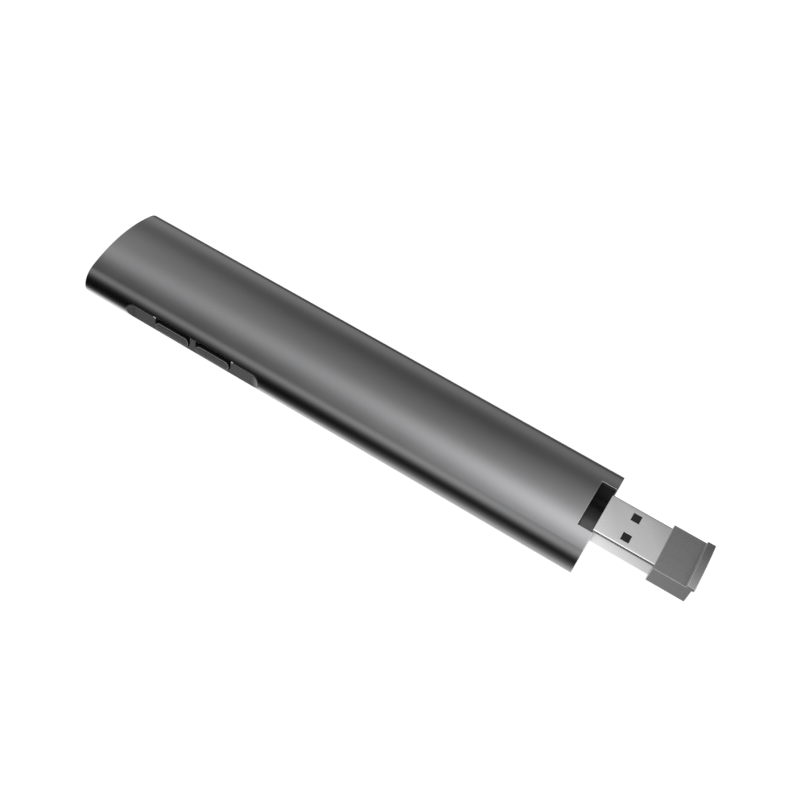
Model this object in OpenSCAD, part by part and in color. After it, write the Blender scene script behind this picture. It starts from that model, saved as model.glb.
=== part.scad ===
// Slim wireless presentation clicker.
// A flat aluminium sleeve holds a plastic tray with the board and the cell, two page keys in a
// finger scoop on its side, and a USB receiver that pulls out of its tail.
// X runs along the body, from the front end to the tail; Z is up from the flat underside.
// Places along the body are stations: millimetres from the front end.
// The keys are on the -Y side. The receiver is drawn pulled out.

/* [Body] */
// Length of the sleeve, end to end
body_l = 138.2; // [132:0.1:150]
// Greatest width across the sides
body_w = 29.34; // [28.8:0.02:31]
// Radius of the broad arch across the back
arch_r = 32.2; // [30:0.1:36]
// Radius where the arch turns down into the sides
shoulder_r = 5; // [4.7:0.1:5.6]
// Radius where the sides turn under to the flat face
edge_r = 3.8; // [3.7:0.05:4.2]
// Wall of the sleeve
wall = 1.1; // [0.95:0.05:1.2]
// Gap between the sleeve and what slides into it
fit = 0.05; // [0.03:0.01:0.08]
// How far the end pieces sit inside the sleeve's ends
end_recess = 0.2; // [0.1:0.05:0.4]

/* [Finger scoop] */
// Station where the scoop starts
scoop_start = 13.05; // [12.55:0.05:16]
// Length of the scoop with its run-outs
scoop_l = 39.35; // [37.5:0.05:43]
// Depth of the scoop's flat below the side
scoop_depth = 0.55; // [0.5:0.01:0.64]
// Plan radius of the run-outs at its ends
runout_r = 6; // [4:0.5:8]
// Rim of the key frame outside the scoop
frame_rim = 0.12; // [0.1:0.02:0.18]
// Thickness of the key frame behind the flat
frame_t = 1.4; // [1.2:0.1:1.5]
// How far the frame's back runs past the scoop at each end
frame_over = 1.5; // [1:0.1:2]

/* [Keys] */
// Length of a key
key_l = 9.8; // [8.6:0.1:11]
// Height of a key
key_h = 2.7; // [2.4:0.1:3]
// Gap round a key in its opening
key_gap = 0.32; // [0.26:0.02:0.4]
// Web between the two openings at its narrowest
divider_w = 1.65; // [1.2:0.05:2.2]
// How far the keys' faces sit in from the sleeve's side
key_inset = 0.15; // [0.1:0.01:0.2]
// Bevel round a key's face
key_bevel = 0.15; // [0.1:0.05:0.2]
// Depth of the relief above a key, behind the flat
relief_t = 0.8; // [0.6:0.05:0.9]
// Thickness of the flange that holds a key in
flange_t = 0.7; // [0.5:0.05:0.8]
// How far the flange reaches past the opening
flange_lip = 0.15; // [0.1:0.01:0.2]
// Travel of a key
key_travel = 0.45; // [0.3:0.05:0.5]

/* [Key switches] */
// Length of a switch along the board's edge
switch_l = 4.6; // [4:0.1:6]
// Depth of a switch from the board's edge
switch_w = 2.4; // [2.2:0.1:3.5]
// Height of a switch
switch_h = 2; // [1.8:0.1:2.2]
// Length of a plunger outside its switch
plunger_out = 1.2; // [1:0.1:1.3]
// Length of a plunger inside its switch
plunger_in = 0.4; // [0.3:0.1:0.6]
// Width of a plunger
plunger_l = 1.8; // [1.4:0.1:2.4]
// Height of a plunger
plunger_h = 0.9; // [0.7:0.1:1.1]

/* [Receiver plug] */
// Width of the metal shell
plug_w = 12; // [11.8:0.05:12.1]
// Height of the metal shell
plug_h = 4.5; // [4.4:0.05:4.6]
// Length of the shell ahead of the housing
plug_l = 15.4; // [14:0.1:17]
// Sheet thickness of the shell
plug_sheet = 0.3; // [0.25:0.05:0.35]
// Outer bend radius of the shell
plug_bend_r = 0.55; // [0.45:0.05:0.7]
// Length of a latch hole
latch_l = 2.1; // [1.8:0.1:2.4]
// Width of a latch hole
latch_w = 2.3; // [2:0.1:2.5]
// Distance from the tip to the middle of the latch holes
latch_from_tip = 7.2; // [6.5:0.1:8]
// Distance between the middles of the latch holes
latch_pitch = 6.2; // [5.6:0.1:6.6]
// Thickness of the tongue
tongue_t = 1.84; // [1.7:0.02:1.9]
// Length of the tongue
tongue_l = 10.6; // [10.2:0.1:11]
// Width of a contact
contact_w = 1; // [0.8:0.05:1.2]
// Thickness of a contact
contact_t = 0.15; // [0.1:0.05:0.2]

/* [Receiver housing] */
// Width of the housing
housing_w = 13.8; // [13.4:0.1:14.2]
// Length of the housing ahead of the lip's overhang
housing_l = 9.7; // [9:0.1:12]
// Step from the shell up to the housing's top
housing_over = 0.1; // [0.05:0.05:0.2]
// Step from the shell down to the housing's underside
housing_under = 0.6; // [0.4:0.1:0.8]
// Depth of the shell's seat in the housing
plug_seat = 3; // [2.5:0.1:3.5]
// Length of the finger lip
lip_l = 2; // [1.5:0.1:2.6]
// Overhang of the lip past the housing's end
lip_overhang = 0.5; // [0.3:0.1:0.8]
// How far the lip reaches down the housing's sides
lip_drop = 0.3; // [0.2:0.1:1]

/* [Receiver bay] */
// Length of the notch in the tail of the arch
notch_l = 4; // [3.6:0.1:6]
// Gap beside the lip in the notch
notch_gap = 0.17; // [0.15:0.01:0.25]
// Gap between the receiver and the bay
slide_gap = 0.1; // [0.08:0.01:0.14]
// Sleeve wall left over the housing's corners
bay_wall = 0.6; // [0.5:0.05:0.7]
// Plastic under the bay's mouth
mouth_floor = 0.6; // [0.5:0.1:1]
// Width of the ledges that carry the housing
ledge_w = 1.1; // [0.8:0.1:1.4]
// End wall of the bay
bay_end_t = 2.4; // [2:0.1:3]
// Gap at the plug's tip when the receiver is home
stop_gap = 0.2; // [0.1:0.05:0.3]
// Length of plug still inside the tail when pulled out
tip_in = 0.4; // [0.2:0.1:0.8]
// Width of the retaining spring
spring_w = 4; // [3:0.1:5]
// Sheet thickness of the retaining spring
spring_t = 0.15; // [0.1:0.05:0.2]
// Depth of the spring's recess
spring_recess = 0.5; // [0.4:0.05:0.6]

/* [Tray] */
// Wall of the tray
tray_wall = 1.2; // [1:0.1:1.3]
// Height of the tray's sides above the flat underside
tray_h = 5.2; // [5:0.1:5.6]
// Length of the screw bosses
boss_l = 5; // [4.5:0.1:6]
// Height of the screw bosses above the flat underside
boss_h = 4.4; // [4.2:0.1:4.6]
// Distance of the bay's screws from the sleeve's side
screw_inset = 4.27; // [4:0.01:4.6]
// Thickness of the bay's screw ears
ear_t = 1.1; // [0.9:0.1:1.2]
// Diameter of a screw's shank
screw_d = 1.5; // [1.2:0.1:1.6]
// Diameter of a screw's head
screw_head_d = 2.7; // [2.4:0.1:2.8]
// Height of a screw's head
screw_head_h = 0.8; // [0.6:0.1:0.9]
// Length of a screw's shank
screw_l = 2.8; // [2.4:0.1:3]

/* [Board and cell] */
// Length of the board
board_l = 60; // [57:0.5:61]
// Thickness of the board
board_t = 0.8; // [0.6:0.1:0.9]
// Edge of the radio chip
chip_a = 5; // [4:0.5:7]
// Room between the board and the cell
cell_room = 4.85; // [3:0.05:8]
// Room for the cell's tape and wrap inside the tray, at each side
cell_side = 1.7; // [1:0.1:3]
// Thickness of the cell
cell_h = 4.8; // [4:0.1:5]
// Thickness of the tape under the cell
tape_t = 0.3; // [0.2:0.05:0.4]
// Diameter of a cell lead
lead_d = 0.8; // [0.6:0.1:1]

/* [Front end] */
// Thickness of the front cap
cap_t = 1.6; // [1.4:0.1:2]
// Length of the cap's side tabs behind it
tab_l = 6; // [5:0.1:6.2]
// Width of the charging port
port_w = 8.94; // [8.8:0.02:9.1]
// Height of the charging port
port_h = 3.26; // [3.2:0.02:3.4]
// Length of the charging port
port_l = 7.3; // [6.8:0.1:8]
// Gap round the charging port in the cap
port_gap = 0.15; // [0.1:0.01:0.25]
// Distance of the status light from the sleeve's side
light_inset = 5.87; // [5.4:0.01:6.6]
// Diameter of the light pipe
light_d = 1.2; // [1:0.1:1.4]

/* [Hidden] */
$fn = 64;

// Colours
metal_grey = [0.36, 0.36, 0.37];
plastic_grey = [0.27, 0.27, 0.28];
plastic_black = [0.09, 0.09, 0.1];
steel = [0.76, 0.76, 0.77];
gold = [0.83, 0.66, 0.3];
board_green = [0.09, 0.3, 0.18];
chip_black = [0.12, 0.12, 0.13];

// The body's section: a flat underside, two edge arcs, two shoulder arcs and the arch, all tangent
side_y = body_w/2;
shoulder_y = side_y - shoulder_r;
edge_y = side_y - edge_r;
screw_y = side_y - screw_inset;
light_y = side_y - light_inset;
arch_tilt = asin(shoulder_y/(arch_r - shoulder_r));
arch_z = edge_r - (arch_r - shoulder_r)*cos(arch_tilt);
crest_z = arch_z + arch_r;
in_fit = wall + fit;
arch_steps = 16;
turn_steps = 8;
past = 1;
function arch_at(y) = arch_z + sqrt(arch_r*arch_r - y*y);

// The scoop and the keys in it, on planes counted outwards from the middle line
flat_y = side_y - scoop_depth;
frame_back_y = flat_y - frame_t;
flange_front_y = frame_back_y - fit;
flange_back_y = flange_front_y - flange_t;
switch_front_y = flange_back_y - plunger_out;
scoop_up = sqrt(2*shoulder_r*scoop_depth - scoop_depth*scoop_depth);
scoop_down = sqrt(2*edge_r*scoop_depth - scoop_depth*scoop_depth);
key_z = edge_r + (scoop_up - scoop_down)/2;
frame_h = scoop_up + scoop_down + 2*frame_rim;
runout_l = sqrt(2*runout_r*scoop_depth - scoop_depth*scoop_depth);
scoop_mid = scoop_start + scoop_l/2;
opening_l = key_l + 2*key_gap;
key_pitch = opening_l + divider_w;
key_face_y = side_y - key_inset;
forward_s = scoop_mid + key_pitch/2;
back_s = scoop_mid - key_pitch/2;

// Heights inside the sleeve
board_top = key_z - switch_h/2;
board_bottom = board_top - board_t;
board_gap = 0.2;
board_w = 2*switch_front_y;
board_start = end_recess + cap_t + board_gap;
board_end = board_start + board_l;
component_gap = 0.05;

// The receiver, counted from its tip, and the bay that it slides into
receiver_l = plug_l + housing_l + lip_overhang;
overall_l = body_l - tip_in + receiver_l;
tip_s = body_l - tip_in;
housing_s = tip_s + plug_l;
receiver_end = tip_s + receiver_l;
home_tip = body_l - receiver_l;
path_y = housing_w/2 + slide_gap;
bay_top = arch_at(path_y) - bay_wall;
housing_top = bay_top - slide_gap;
plug_top = housing_top - housing_over;
plug_bottom = plug_top - plug_h;
housing_bottom = plug_bottom - housing_under;
bay_stop = home_tip - stop_gap;
bay_start = bay_stop - bay_end_t;
mouth_s = home_tip + plug_l - stop_gap;
mouth_z = in_fit + mouth_floor;
bay_floor = plug_bottom - slide_gap;
ledge_top = housing_bottom - slide_gap;
tray_end = bay_start - 2*fit;
cell_end = tray_end - boss_l - component_gap;
cell_start = board_end + cell_room;
cell_w = board_w - 2*cell_side;

// ---- Shapes that repeat ----

// Everything is placed from the front end of the sleeve
module from_front() translate([-overall_l/2, 0, 0]) children();

// A profile drawn in Y and Z, drawn out between two stations
module along(s0, s1) translate([s0, 0, 0]) rotate([90, 0, 90]) linear_extrude(s1 - s0) children();

// A block between two corners
module block(low, high) translate(low) cube(high - low);

// Points along an arc, without its last one
function arc(centre, r, from, to, steps) = [
    for (i = [0:steps - 1])
        let (turn = from + (to - from)*i/steps) centre + r*[cos(turn), sin(turn)]
];

// The section of the body, set in from its outside
module section(inset) polygon(concat(
    arc([edge_y, edge_r], edge_r - inset, -90, 0, turn_steps),
    arc([shoulder_y, edge_r], shoulder_r - inset, 0, 90 - arch_tilt, turn_steps),
    arc([0, arch_z], arch_r - inset, 90 - arch_tilt, 90 + arch_tilt, arch_steps),
    arc([-shoulder_y, edge_r], shoulder_r - inset, 90 + arch_tilt, 180, turn_steps),
    arc([-edge_y, edge_r], edge_r - inset, 180, 270, turn_steps),
    [[-edge_y, inset]]
));

// The part of the section that lies beyond a distance from the middle line, and below a height
module section_sides(inset, inner_y, top_z) {
    intersection() {
        section(inset);
        for (side = [-1, 1])
            translate([side*(inner_y + body_w)/2 - (body_w - inner_y)/2, 0])
                square([body_w - inner_y, top_z]);
    }
}

// A bar with two round ends
module pill_2d(l, h) {
    for (side = [-1, 1]) translate([side*(l - h)/2, 0]) circle(h/2);
    square([l - h, h], center = true);
}

// A pill that looks out of the key side, between two distances from the middle line
module side_pill(s, l, h, y0, y1)
    translate([s, -y0, key_z]) rotate([90, 0, 0]) linear_extrude(y1 - y0) pill_2d(l, h);

// The bevelled face of a side pill
module side_pill_face(s, l, h, y0, bevel) {
    translate([s, -y0, key_z]) rotate([90, 0, 0]) {
        for (side = [-1, 1])
            translate([side*(l - h)/2, 0, 0]) cylinder(r1 = h/2, r2 = h/2 - bevel, h = bevel);
        rotate([0, 90, 0]) linear_extrude(l - h, center = true)
            polygon([[0, -h/2], [0, h/2], [-bevel, h/2 - bevel], [-bevel, bevel - h/2]]);
    }
}

// A rectangle with rounded corners
module rounded_2d(w, h, r) {
    for (y = [-1, 1], z = [-1, 1]) translate([y*(w/2 - r), z*(h/2 - r)]) circle(r);
    square([w - 2*r, h], center = true);
    square([w, h - 2*r], center = true);
}

// A surface-mounted part on the board
module component(s, y, size) block([s - size.x/2, y - size.y/2, board_top],
                                   [s + size.x/2, y + size.y/2, board_top + size.z]);

// ---- Body ----

// Swept path of a mill that cuts the finger scoop
module scoop() {
    s0 = scoop_start + runout_l;
    s1 = scoop_start + scoop_l - runout_l;
    depth = 2*runout_r;
    for (s = [s0, s1])
        translate([s, -flat_y - runout_r, -past]) cylinder(r = runout_r, h = crest_z + 2*past);
    block([s0, -flat_y - depth, -past], [s1, -flat_y, crest_z + past]);
}

// The opening in the sleeve's side that the key frame fills
module frame_window(gap)
    side_pill(scoop_mid, scoop_l + 2*frame_rim + 2*gap, frame_h + 2*gap, frame_back_y, side_y + past);

module body_shell() color(metal_grey) difference() {
    along(0, body_l) section(0);
    along(-past, body_l + past) section(wall);
    frame_window(fit);
    block([body_l - notch_l, -housing_w/2 - notch_gap, plug_bottom],
          [body_l + past, housing_w/2 + notch_gap, crest_z + past]);
    block([bay_stop, -path_y, plug_bottom], [body_l + past, path_y, bay_top]);
}

// ---- Front end ----

module port_hole_2d(gap)
    translate([0, board_top + port_h/2]) pill_2d(port_w + 2*gap, port_h + 2*gap);

light_z = board_top + light_d/2 + component_gap;
cap_back = end_recess + cap_t;
tab_end = cap_back + tab_l;

module front_cap() color(plastic_black) difference() {
    union() {
        along(end_recess, cap_back) section(in_fit);
        along(cap_back, tab_end) difference() {
            section_sides(in_fit, board_w/2 + 2*board_gap, tray_h);
            section(in_fit + tray_wall);
        }
    }
    along(0, cap_back + past) port_hole_2d(port_gap);
    translate([0, light_y, light_z]) rotate([0, 90, 0]) cylinder(d = light_d + fit, h = cap_back + past);
}

// A stepped acrylic rod from the cap's face to the lamp
module light_pipe() color("white") translate([end_recess, light_y, light_z]) rotate([0, 90, 0]) {
    cylinder(d = light_d, h = cap_t);
    translate([0, 0, cap_t]) cylinder(d = light_d + 2*component_gap, h = board_gap + light_d/2);
}

led_s = cap_back + board_gap + light_d/2;
module status_led() color("white")
    block([led_s, light_y - light_d/2, board_top],
          [led_s + light_d/2, light_y + light_d/2, light_z + light_d/2]);

port_start = end_recess + 2*board_gap;
port_sheet = 0.3;
module charge_port() color(steel) along(port_start, port_start + port_l) difference() {
    port_hole_2d(0);
    port_hole_2d(-port_sheet);
}

module charge_tongue() color(plastic_black) {
    back_l = port_l/4;
    blade = [port_l*0.6, port_w*0.75, port_h*0.21];
    port_end = port_start + port_l;
    along(port_end - back_l, port_end) port_hole_2d(-port_sheet - component_gap/2);
    translate([port_end - back_l - blade.x, -blade.y/2, board_top + port_h/2 - blade.z/2]) cube(blade);
}

// ---- Tray and what it carries ----

key_bay_0 = scoop_start - frame_over - 2*fit;
key_bay_1 = scoop_start + scoop_l + frame_over + 2*fit;
hook_l = 3;
hook_over = 0.5;
hook_t = 0.7;

// A hook that springs over the board's edge
module board_hook(s, side) along(s - hook_l/2, s + hook_l/2) intersection() {
    section(in_fit);
    translate([side*body_w/2 - body_w/2 + side*(board_w/2 - hook_over), board_top + component_gap])
        square([body_w, hook_t]);
}

module tray_2d() difference() {
    section(in_fit);
    translate([-board_w/2 - board_gap, board_bottom]) square([board_w + 2*board_gap, crest_z]);
    section(in_fit + tray_wall);
    translate([-body_w, tray_h]) square([2*body_w, crest_z]);
}

module tray() color(plastic_black) difference() {
    union() {
        along(board_start, tray_end) tray_2d();
        along(tray_end - boss_l, tray_end) section_sides(in_fit, screw_y - screw_head_d, boss_h);
        along(tray_end - tray_wall, tray_end) intersection() {
            section(in_fit);
            translate([-body_w, 0]) square([2*body_w, boss_h]);
        }
        block([board_end + board_gap, -board_w/2, board_bottom - fit],
              [board_end + board_gap + tray_wall, board_w/2, board_top - fit]);
        for (s = [board_start + board_l/5, board_start + board_l/2, board_end - hook_l])
            board_hook(s, 1);
        board_hook(board_end - hook_l/2 - board_gap, -1);
    }
    for (side = [-1, 1]) {
        block([board_start - past, side > 0 ? board_w/2 + board_gap : -body_w, 0],
              [tab_end + board_gap, side > 0 ? body_w : -board_w/2 - board_gap, crest_z]);
        translate([tray_end - boss_l/2, side*screw_y, boss_h - screw_l])
            cylinder(d = screw_d + fit, h = screw_l + past);
    }
    block([key_bay_0, -body_w, 0], [key_bay_1, -board_w/2 - board_gap, crest_z]);
    block([tray_end - boss_l, -body_w, boss_h], [tray_end + past, body_w, crest_z]);
}

module main_board() color(board_green) difference() {
    block([board_start, -board_w/2, board_bottom], [board_end, board_w/2, board_top]);
    for (s = [forward_s, back_s], pin = [-1, 1])
        translate([s + pin*switch_l/4, -switch_front_y + switch_w/2, board_bottom - past])
            cylinder(d = lead_d, h = board_t + 2*past);
}

crystal_size = [3.2, 2.5, 0.7];
charger_size = [2.9, 1.6, 1.1];
antenna_size = [1.6, 3.2, 1.2];
resistor_size = [1.6, 0.8, 0.6];
capacitor_size = [1, 0.5, 0.5];

module radio_chip() color(chip_black)
    component(board_start + board_l*0.62, board_w*0.14, [chip_a, chip_a, chip_a*0.17]);

module crystal() color(steel) component(board_start + board_l*0.52, board_w*0.23, crystal_size);

module charger_chip() color(chip_black)
    component(board_start + board_l*0.22, board_w*0.26, charger_size);

module chip_antenna() color("white")
    component(board_start + antenna_size.y, -light_y, antenna_size);

// Resistors and capacitors in two rows
module passives() color([0.5, 0.42, 0.33]) {
    for (i = [0:4]) {
        component(board_start + board_l*0.3 + i*1.4*resistor_size.x, board_w*0.38, resistor_size);
        component(board_start + board_l*0.72 + i*1.4*resistor_size.x, board_w*0.33, capacitor_size);
    }
}

module cell() color([0.6, 0.62, 0.65])
    along(cell_start, cell_end) translate([0, board_bottom + tape_t + cell_h/2])
        rounded_2d(cell_w, cell_h, cell_h/4);

module cell_tape() color("white") {
    edge = cell_h/4;
    block([cell_start + edge, edge - cell_w/2, board_bottom],
          [cell_end - edge, cell_w/2 - edge, board_bottom + tape_t]);
}

// Two leads from the cell's end to the board's pads
module cell_leads() color("firebrick") {
    for (side = [-1, 1])
        translate([board_end - 2*lead_d, side*2*lead_d, board_top + lead_d/2]) rotate([0, 90, 0])
            cylinder(d = lead_d, h = cell_start - board_end + 2*lead_d);
}

// ---- Keys ----

// A plate that fills the scoop, with a pill-shaped opening for each key that is open above it
module key_frame() color(plastic_black) difference() {
    union() {
        intersection() {
            along(scoop_start - frame_over, scoop_start + scoop_l + frame_over) section(0);
            frame_window(0);
        }
        intersection() {
            along(scoop_start - frame_over, scoop_start + scoop_l + frame_over) section(in_fit);
            block([0, -body_w, 0], [body_l, -frame_back_y, crest_z]);
        }
    }
    scoop();
    for (s = [forward_s, back_s]) {
        side_pill(s, opening_l, key_h + 2*key_gap, frame_back_y - past, side_y + past);
        block([s - opening_l/2, -side_y - past, key_z], [s + opening_l/2, relief_t - flat_y, crest_z]);
    }
}

// A cap that stands up from the flat, and the flange that holds it behind the frame
module page_key(s) {
    flange_grow = 2*key_gap + 2*flange_lip;
    side_pill(s, key_l + flange_grow, key_h + flange_grow, flange_back_y, flange_front_y);
    side_pill(s, key_l, key_h, flange_front_y, key_face_y - key_bevel);
    side_pill_face(s, key_l, key_h, key_face_y - key_bevel, key_bevel);
}

module plunger(s) block([s - plunger_l/2, -flange_back_y, key_z - plunger_h/2],
                        [s + plunger_l/2, plunger_in - switch_front_y, key_z + plunger_h/2]);

// A side-push switch with a hollow for its plunger
module side_switch(s) difference() {
    block([s - switch_l/2, -switch_front_y, board_top],
          [s + switch_l/2, switch_w - switch_front_y, board_top + switch_h]);
    well_y = plunger_in + key_travel + 2*fit - switch_front_y;
    block([s - plunger_l/2 - fit, -switch_front_y - past, key_z - plunger_h/2 - fit],
          [s + plunger_l/2 + fit, well_y, key_z + plunger_h/2 + fit]);
}

module forward_switch() color(chip_black) side_switch(forward_s);
module back_switch() color(chip_black) side_switch(back_s);
module forward_plunger() color("white") plunger(forward_s);
module back_plunger() color("white") plunger(back_s);
module forward_key() color(plastic_black) page_key(forward_s);
module back_key() color(plastic_black) page_key(back_s);

// ---- Receiver bay ----

lead_in = 0.8;
module bay_lead_in() {
    inner = plug_w/2 + slide_gap;
    translate([0, 0, bay_floor]) linear_extrude(crest_z)
        polygon([
            [mouth_s - lead_in, -inner], [mouth_s + past, -inner - lead_in - past],
            [mouth_s + past, inner + lead_in + past], [mouth_s - lead_in, inner]
        ]);
}

spring_s0 = bay_stop + past;
spring_s1 = mouth_s - lead_in - past;

module receiver_bay() color(plastic_black) difference() {
    union() {
        along(bay_start, body_l - end_recess) section(in_fit);
        along(bay_start - boss_l + fit, bay_start) intersection() {
            section_sides(in_fit, screw_y - screw_head_d + fit, boss_h + ear_t);
            translate([-body_w, boss_h]) square([2*body_w, ear_t]);
        }
    }
    block([mouth_s, -path_y, ledge_top], [body_l + past, path_y, crest_z + past]);
    block([mouth_s, ledge_w - path_y, mouth_z], [body_l + past, path_y - ledge_w, ledge_top + past]);
    block([bay_stop, -plug_w/2 - slide_gap, bay_floor],
          [mouth_s + past, plug_w/2 + slide_gap, crest_z + past]);
    bay_lead_in();
    block([spring_s0 - fit, -spring_w/2 - fit, bay_floor - spring_recess],
          [spring_s1 + fit, spring_w/2 + fit, bay_floor + past]);
    for (side = [-1, 1])
        translate([tray_end - boss_l/2, side*screw_y, 0]) cylinder(d = screw_d + fit, h = crest_z);
}

// A bowed leaf that bears on the plug's underside
module bay_spring() color(steel) {
    rise = spring_recess + slide_gap/2;
    chord = spring_s1 - spring_s0;
    bow_r = (chord*chord/4 + rise*rise)/(2*rise);
    foot_z = bay_floor - spring_recess;
    intersection() {
        translate([(spring_s0 + spring_s1)/2, 0, foot_z + rise - bow_r]) rotate([90, 0, 0]) difference() {
            cylinder(r = bow_r, h = spring_w, center = true, $fn = 256);
            cylinder(r = bow_r - spring_t, h = spring_w + past, center = true, $fn = 256);
        }
        block([spring_s0, -spring_w, foot_z], [spring_s1, spring_w, foot_z + rise]);
    }
}

// Two screws through the bay's ears into the tray's bosses
module bay_screws() color(steel) for (side = [-1, 1])
    translate([tray_end - boss_l/2, side*screw_y, boss_h + ear_t]) {
        difference() {
            cylinder(d = screw_head_d, h = screw_head_h);
            for (turn = [0, 90]) rotate([0, 0, turn])
                translate([0, 0, screw_head_h]) cube([screw_d, screw_d/4, screw_head_h], center = true);
        }
        translate([0, 0, -screw_l]) cylinder(d = screw_d, h = screw_l);
    }

// ---- Receiver ----

module plug_2d(inset) translate([0, (plug_top + plug_bottom)/2])
    rounded_2d(plug_w - 2*inset, plug_h - 2*inset, plug_bend_r - inset);

// A folded sheet shell with two latch holes above and two below
module plug_shell() color(steel) difference() {
    along(tip_s, housing_s + plug_seat) difference() {
        plug_2d(0);
        plug_2d(plug_sheet);
    }
    for (side = [-1, 1])
        translate([tip_s + latch_from_tip - latch_l/2, side*latch_pitch/2 - latch_w/2, plug_bottom - past])
            cube([latch_l, latch_w, plug_h + 2*past]);
}

inner_w = plug_w - 2*plug_sheet - 2*fit;
tongue_top = plug_bottom + plug_sheet + tongue_t;
tongue_s = tip_s + plug_sheet;
module plug_tongue() color(plastic_black) {
    block([tongue_s, -inner_w/2 + plug_bend_r, plug_bottom + plug_sheet],
          [tongue_s + tongue_l, inner_w/2 - plug_bend_r, tongue_top]);
}

// Two long outer contacts and two short inner ones
module plug_contacts() color(gold) {
    outer_y = 3.5;
    inner_y = 1;
    for (y = [-outer_y, -inner_y, inner_y, outer_y])
        block([tongue_s + (abs(y) > inner_y ? 1 : 2), y - contact_w/2, tongue_top],
              [tongue_s + tongue_l - contact_w, y + contact_w/2, tongue_top + contact_t]);
}

receiver_board_t = 0.8;
receiver_board_z = tongue_top - tongue_t/2;
receiver_board_end = receiver_end - lip_overhang - tray_wall;
pocket_top = plug_top - plug_sheet;

module receiver_housing() color(plastic_grey) {
    difference() {
        union() {
            block([housing_s, -housing_w/2, housing_bottom],
                  [receiver_end - lip_overhang, housing_w/2, housing_top]);
            intersection() {
                along(receiver_end - lip_l, receiver_end) section(0);
                block([housing_s, -housing_w/2, housing_top - lip_drop],
                      [receiver_end, housing_w/2, crest_z]);
            }
        }
        along(housing_s - past, housing_s + plug_seat + fit) plug_2d(-fit/2);
        block([housing_s, -inner_w/2 + plug_bend_r, receiver_board_z],
              [receiver_board_end, inner_w/2 - plug_bend_r, pocket_top]);
    }
}

module receiver_board() color(board_green)
    block([tongue_s + tongue_l, -inner_w/2 + plug_bend_r + fit, receiver_board_z],
          [receiver_board_end - fit, inner_w/2 - plug_bend_r - fit, receiver_board_z + receiver_board_t]);

module receiver_part(s, y, size)
    translate([s, y - size.y/2, receiver_board_z + receiver_board_t]) cube(size);

receiver_chip_size = [4, 4, 0.8];
receiver_crystal_size = [2, 1.6, 0.5];
module receiver_chip() color(chip_black)
    receiver_part(housing_s + receiver_chip_size.x/2, 0, receiver_chip_size);

module receiver_crystal() color(steel)
    receiver_part(housing_s - receiver_crystal_size.x, receiver_crystal_size.x, receiver_crystal_size);

from_front() body_shell();
from_front() front_cap();
from_front() light_pipe();
from_front() status_led();
from_front() charge_port();
from_front() charge_tongue();
from_front() tray();
from_front() main_board();
from_front() radio_chip();
from_front() crystal();
from_front() charger_chip();
from_front() chip_antenna();
from_front() passives();
from_front() cell();
from_front() cell_tape();
from_front() cell_leads();
from_front() key_frame();
from_front() forward_switch();
from_front() back_switch();
from_front() receiver_bay();
from_front() bay_spring();
from_front() bay_screws();
from_front() forward_key();
from_front() forward_plunger();
from_front() back_key();
from_front() back_plunger();
from_front() plug_shell();
from_front() plug_tongue();
from_front() plug_contacts();
from_front() receiver_housing();
from_front() receiver_board();
from_front() receiver_chip();
from_front() receiver_crystal();
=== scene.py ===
"""Looks of a slim presentation clicker: satin anodised sleeve, page keys in a scoop, USB receiver.

Sizes are in millimetres in the model's own frame, and turn to metres where a mesh is made.
"""
import math

import bmesh
import bpy
from mathutils import Matrix, Vector


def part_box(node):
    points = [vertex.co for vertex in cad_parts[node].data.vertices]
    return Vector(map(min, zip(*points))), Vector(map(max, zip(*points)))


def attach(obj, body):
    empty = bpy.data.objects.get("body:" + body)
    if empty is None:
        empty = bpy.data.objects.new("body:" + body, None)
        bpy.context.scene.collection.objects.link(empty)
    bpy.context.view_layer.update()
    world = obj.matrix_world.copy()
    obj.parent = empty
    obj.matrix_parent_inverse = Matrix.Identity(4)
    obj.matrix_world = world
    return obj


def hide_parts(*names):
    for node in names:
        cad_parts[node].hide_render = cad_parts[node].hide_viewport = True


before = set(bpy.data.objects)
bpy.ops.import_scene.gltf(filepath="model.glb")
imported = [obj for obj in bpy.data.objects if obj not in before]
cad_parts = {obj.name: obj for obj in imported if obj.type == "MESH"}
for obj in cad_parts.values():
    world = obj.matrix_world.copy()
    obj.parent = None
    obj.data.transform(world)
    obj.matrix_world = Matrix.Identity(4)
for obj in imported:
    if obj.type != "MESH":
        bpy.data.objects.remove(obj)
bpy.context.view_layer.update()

MM = 0.001


# ---- Sizes ----

def box(node):
    """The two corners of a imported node, in millimetres."""
    low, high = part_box(node)
    return low / MM, high / MM


def half_chord(radius, depth):
    """Half the width of an arc at a depth below its top."""
    return math.sqrt(2 * radius * depth - depth ** 2)


SLEEVE_LOW, SLEEVE_HIGH = box("body_shell")
FRONT, TAIL = SLEEVE_LOW.x, SLEEVE_HIGH.x
SIDE, CREST = SLEEVE_HIGH.y, SLEEVE_HIGH.z

# The sleeve's section: an arch, two shoulders and two edges, all tangent, over a flat underside.
# The steps' chords lie under the true arcs by CHORD_DROP at most.
ARCH_R, SHOULDER_R, EDGE_R, WALL = 32.2, 5.0, 3.8, 1.1
SHOULDER_Y, EDGE_Y = SIDE - SHOULDER_R, SIDE - EDGE_R
TILT = math.degrees(math.asin(SHOULDER_Y / (ARCH_R - SHOULDER_R)))
ARCH_Z = CREST - ARCH_R
ARCH_STEPS, SHOULDER_STEPS, EDGE_STEPS = 24, 12, 11
CHORD_DROP = 0.0115

# The gap round the key frame, how far a cutter reaches past what it cuts, the bevel of the large
# pieces, and how deep under the skin the sleeve's edges are out of sight.
FIT, PAST, EDGE_BEVEL, SKIN_DEPTH = 0.05, 1, 0.12, 0.3

# The least cosines at which a face counts as facing along the skin, or along a cut corner that
# carries a painted glint.
ALONG_SKIN, ALONG_GLINT = 0.95, 0.97

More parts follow.
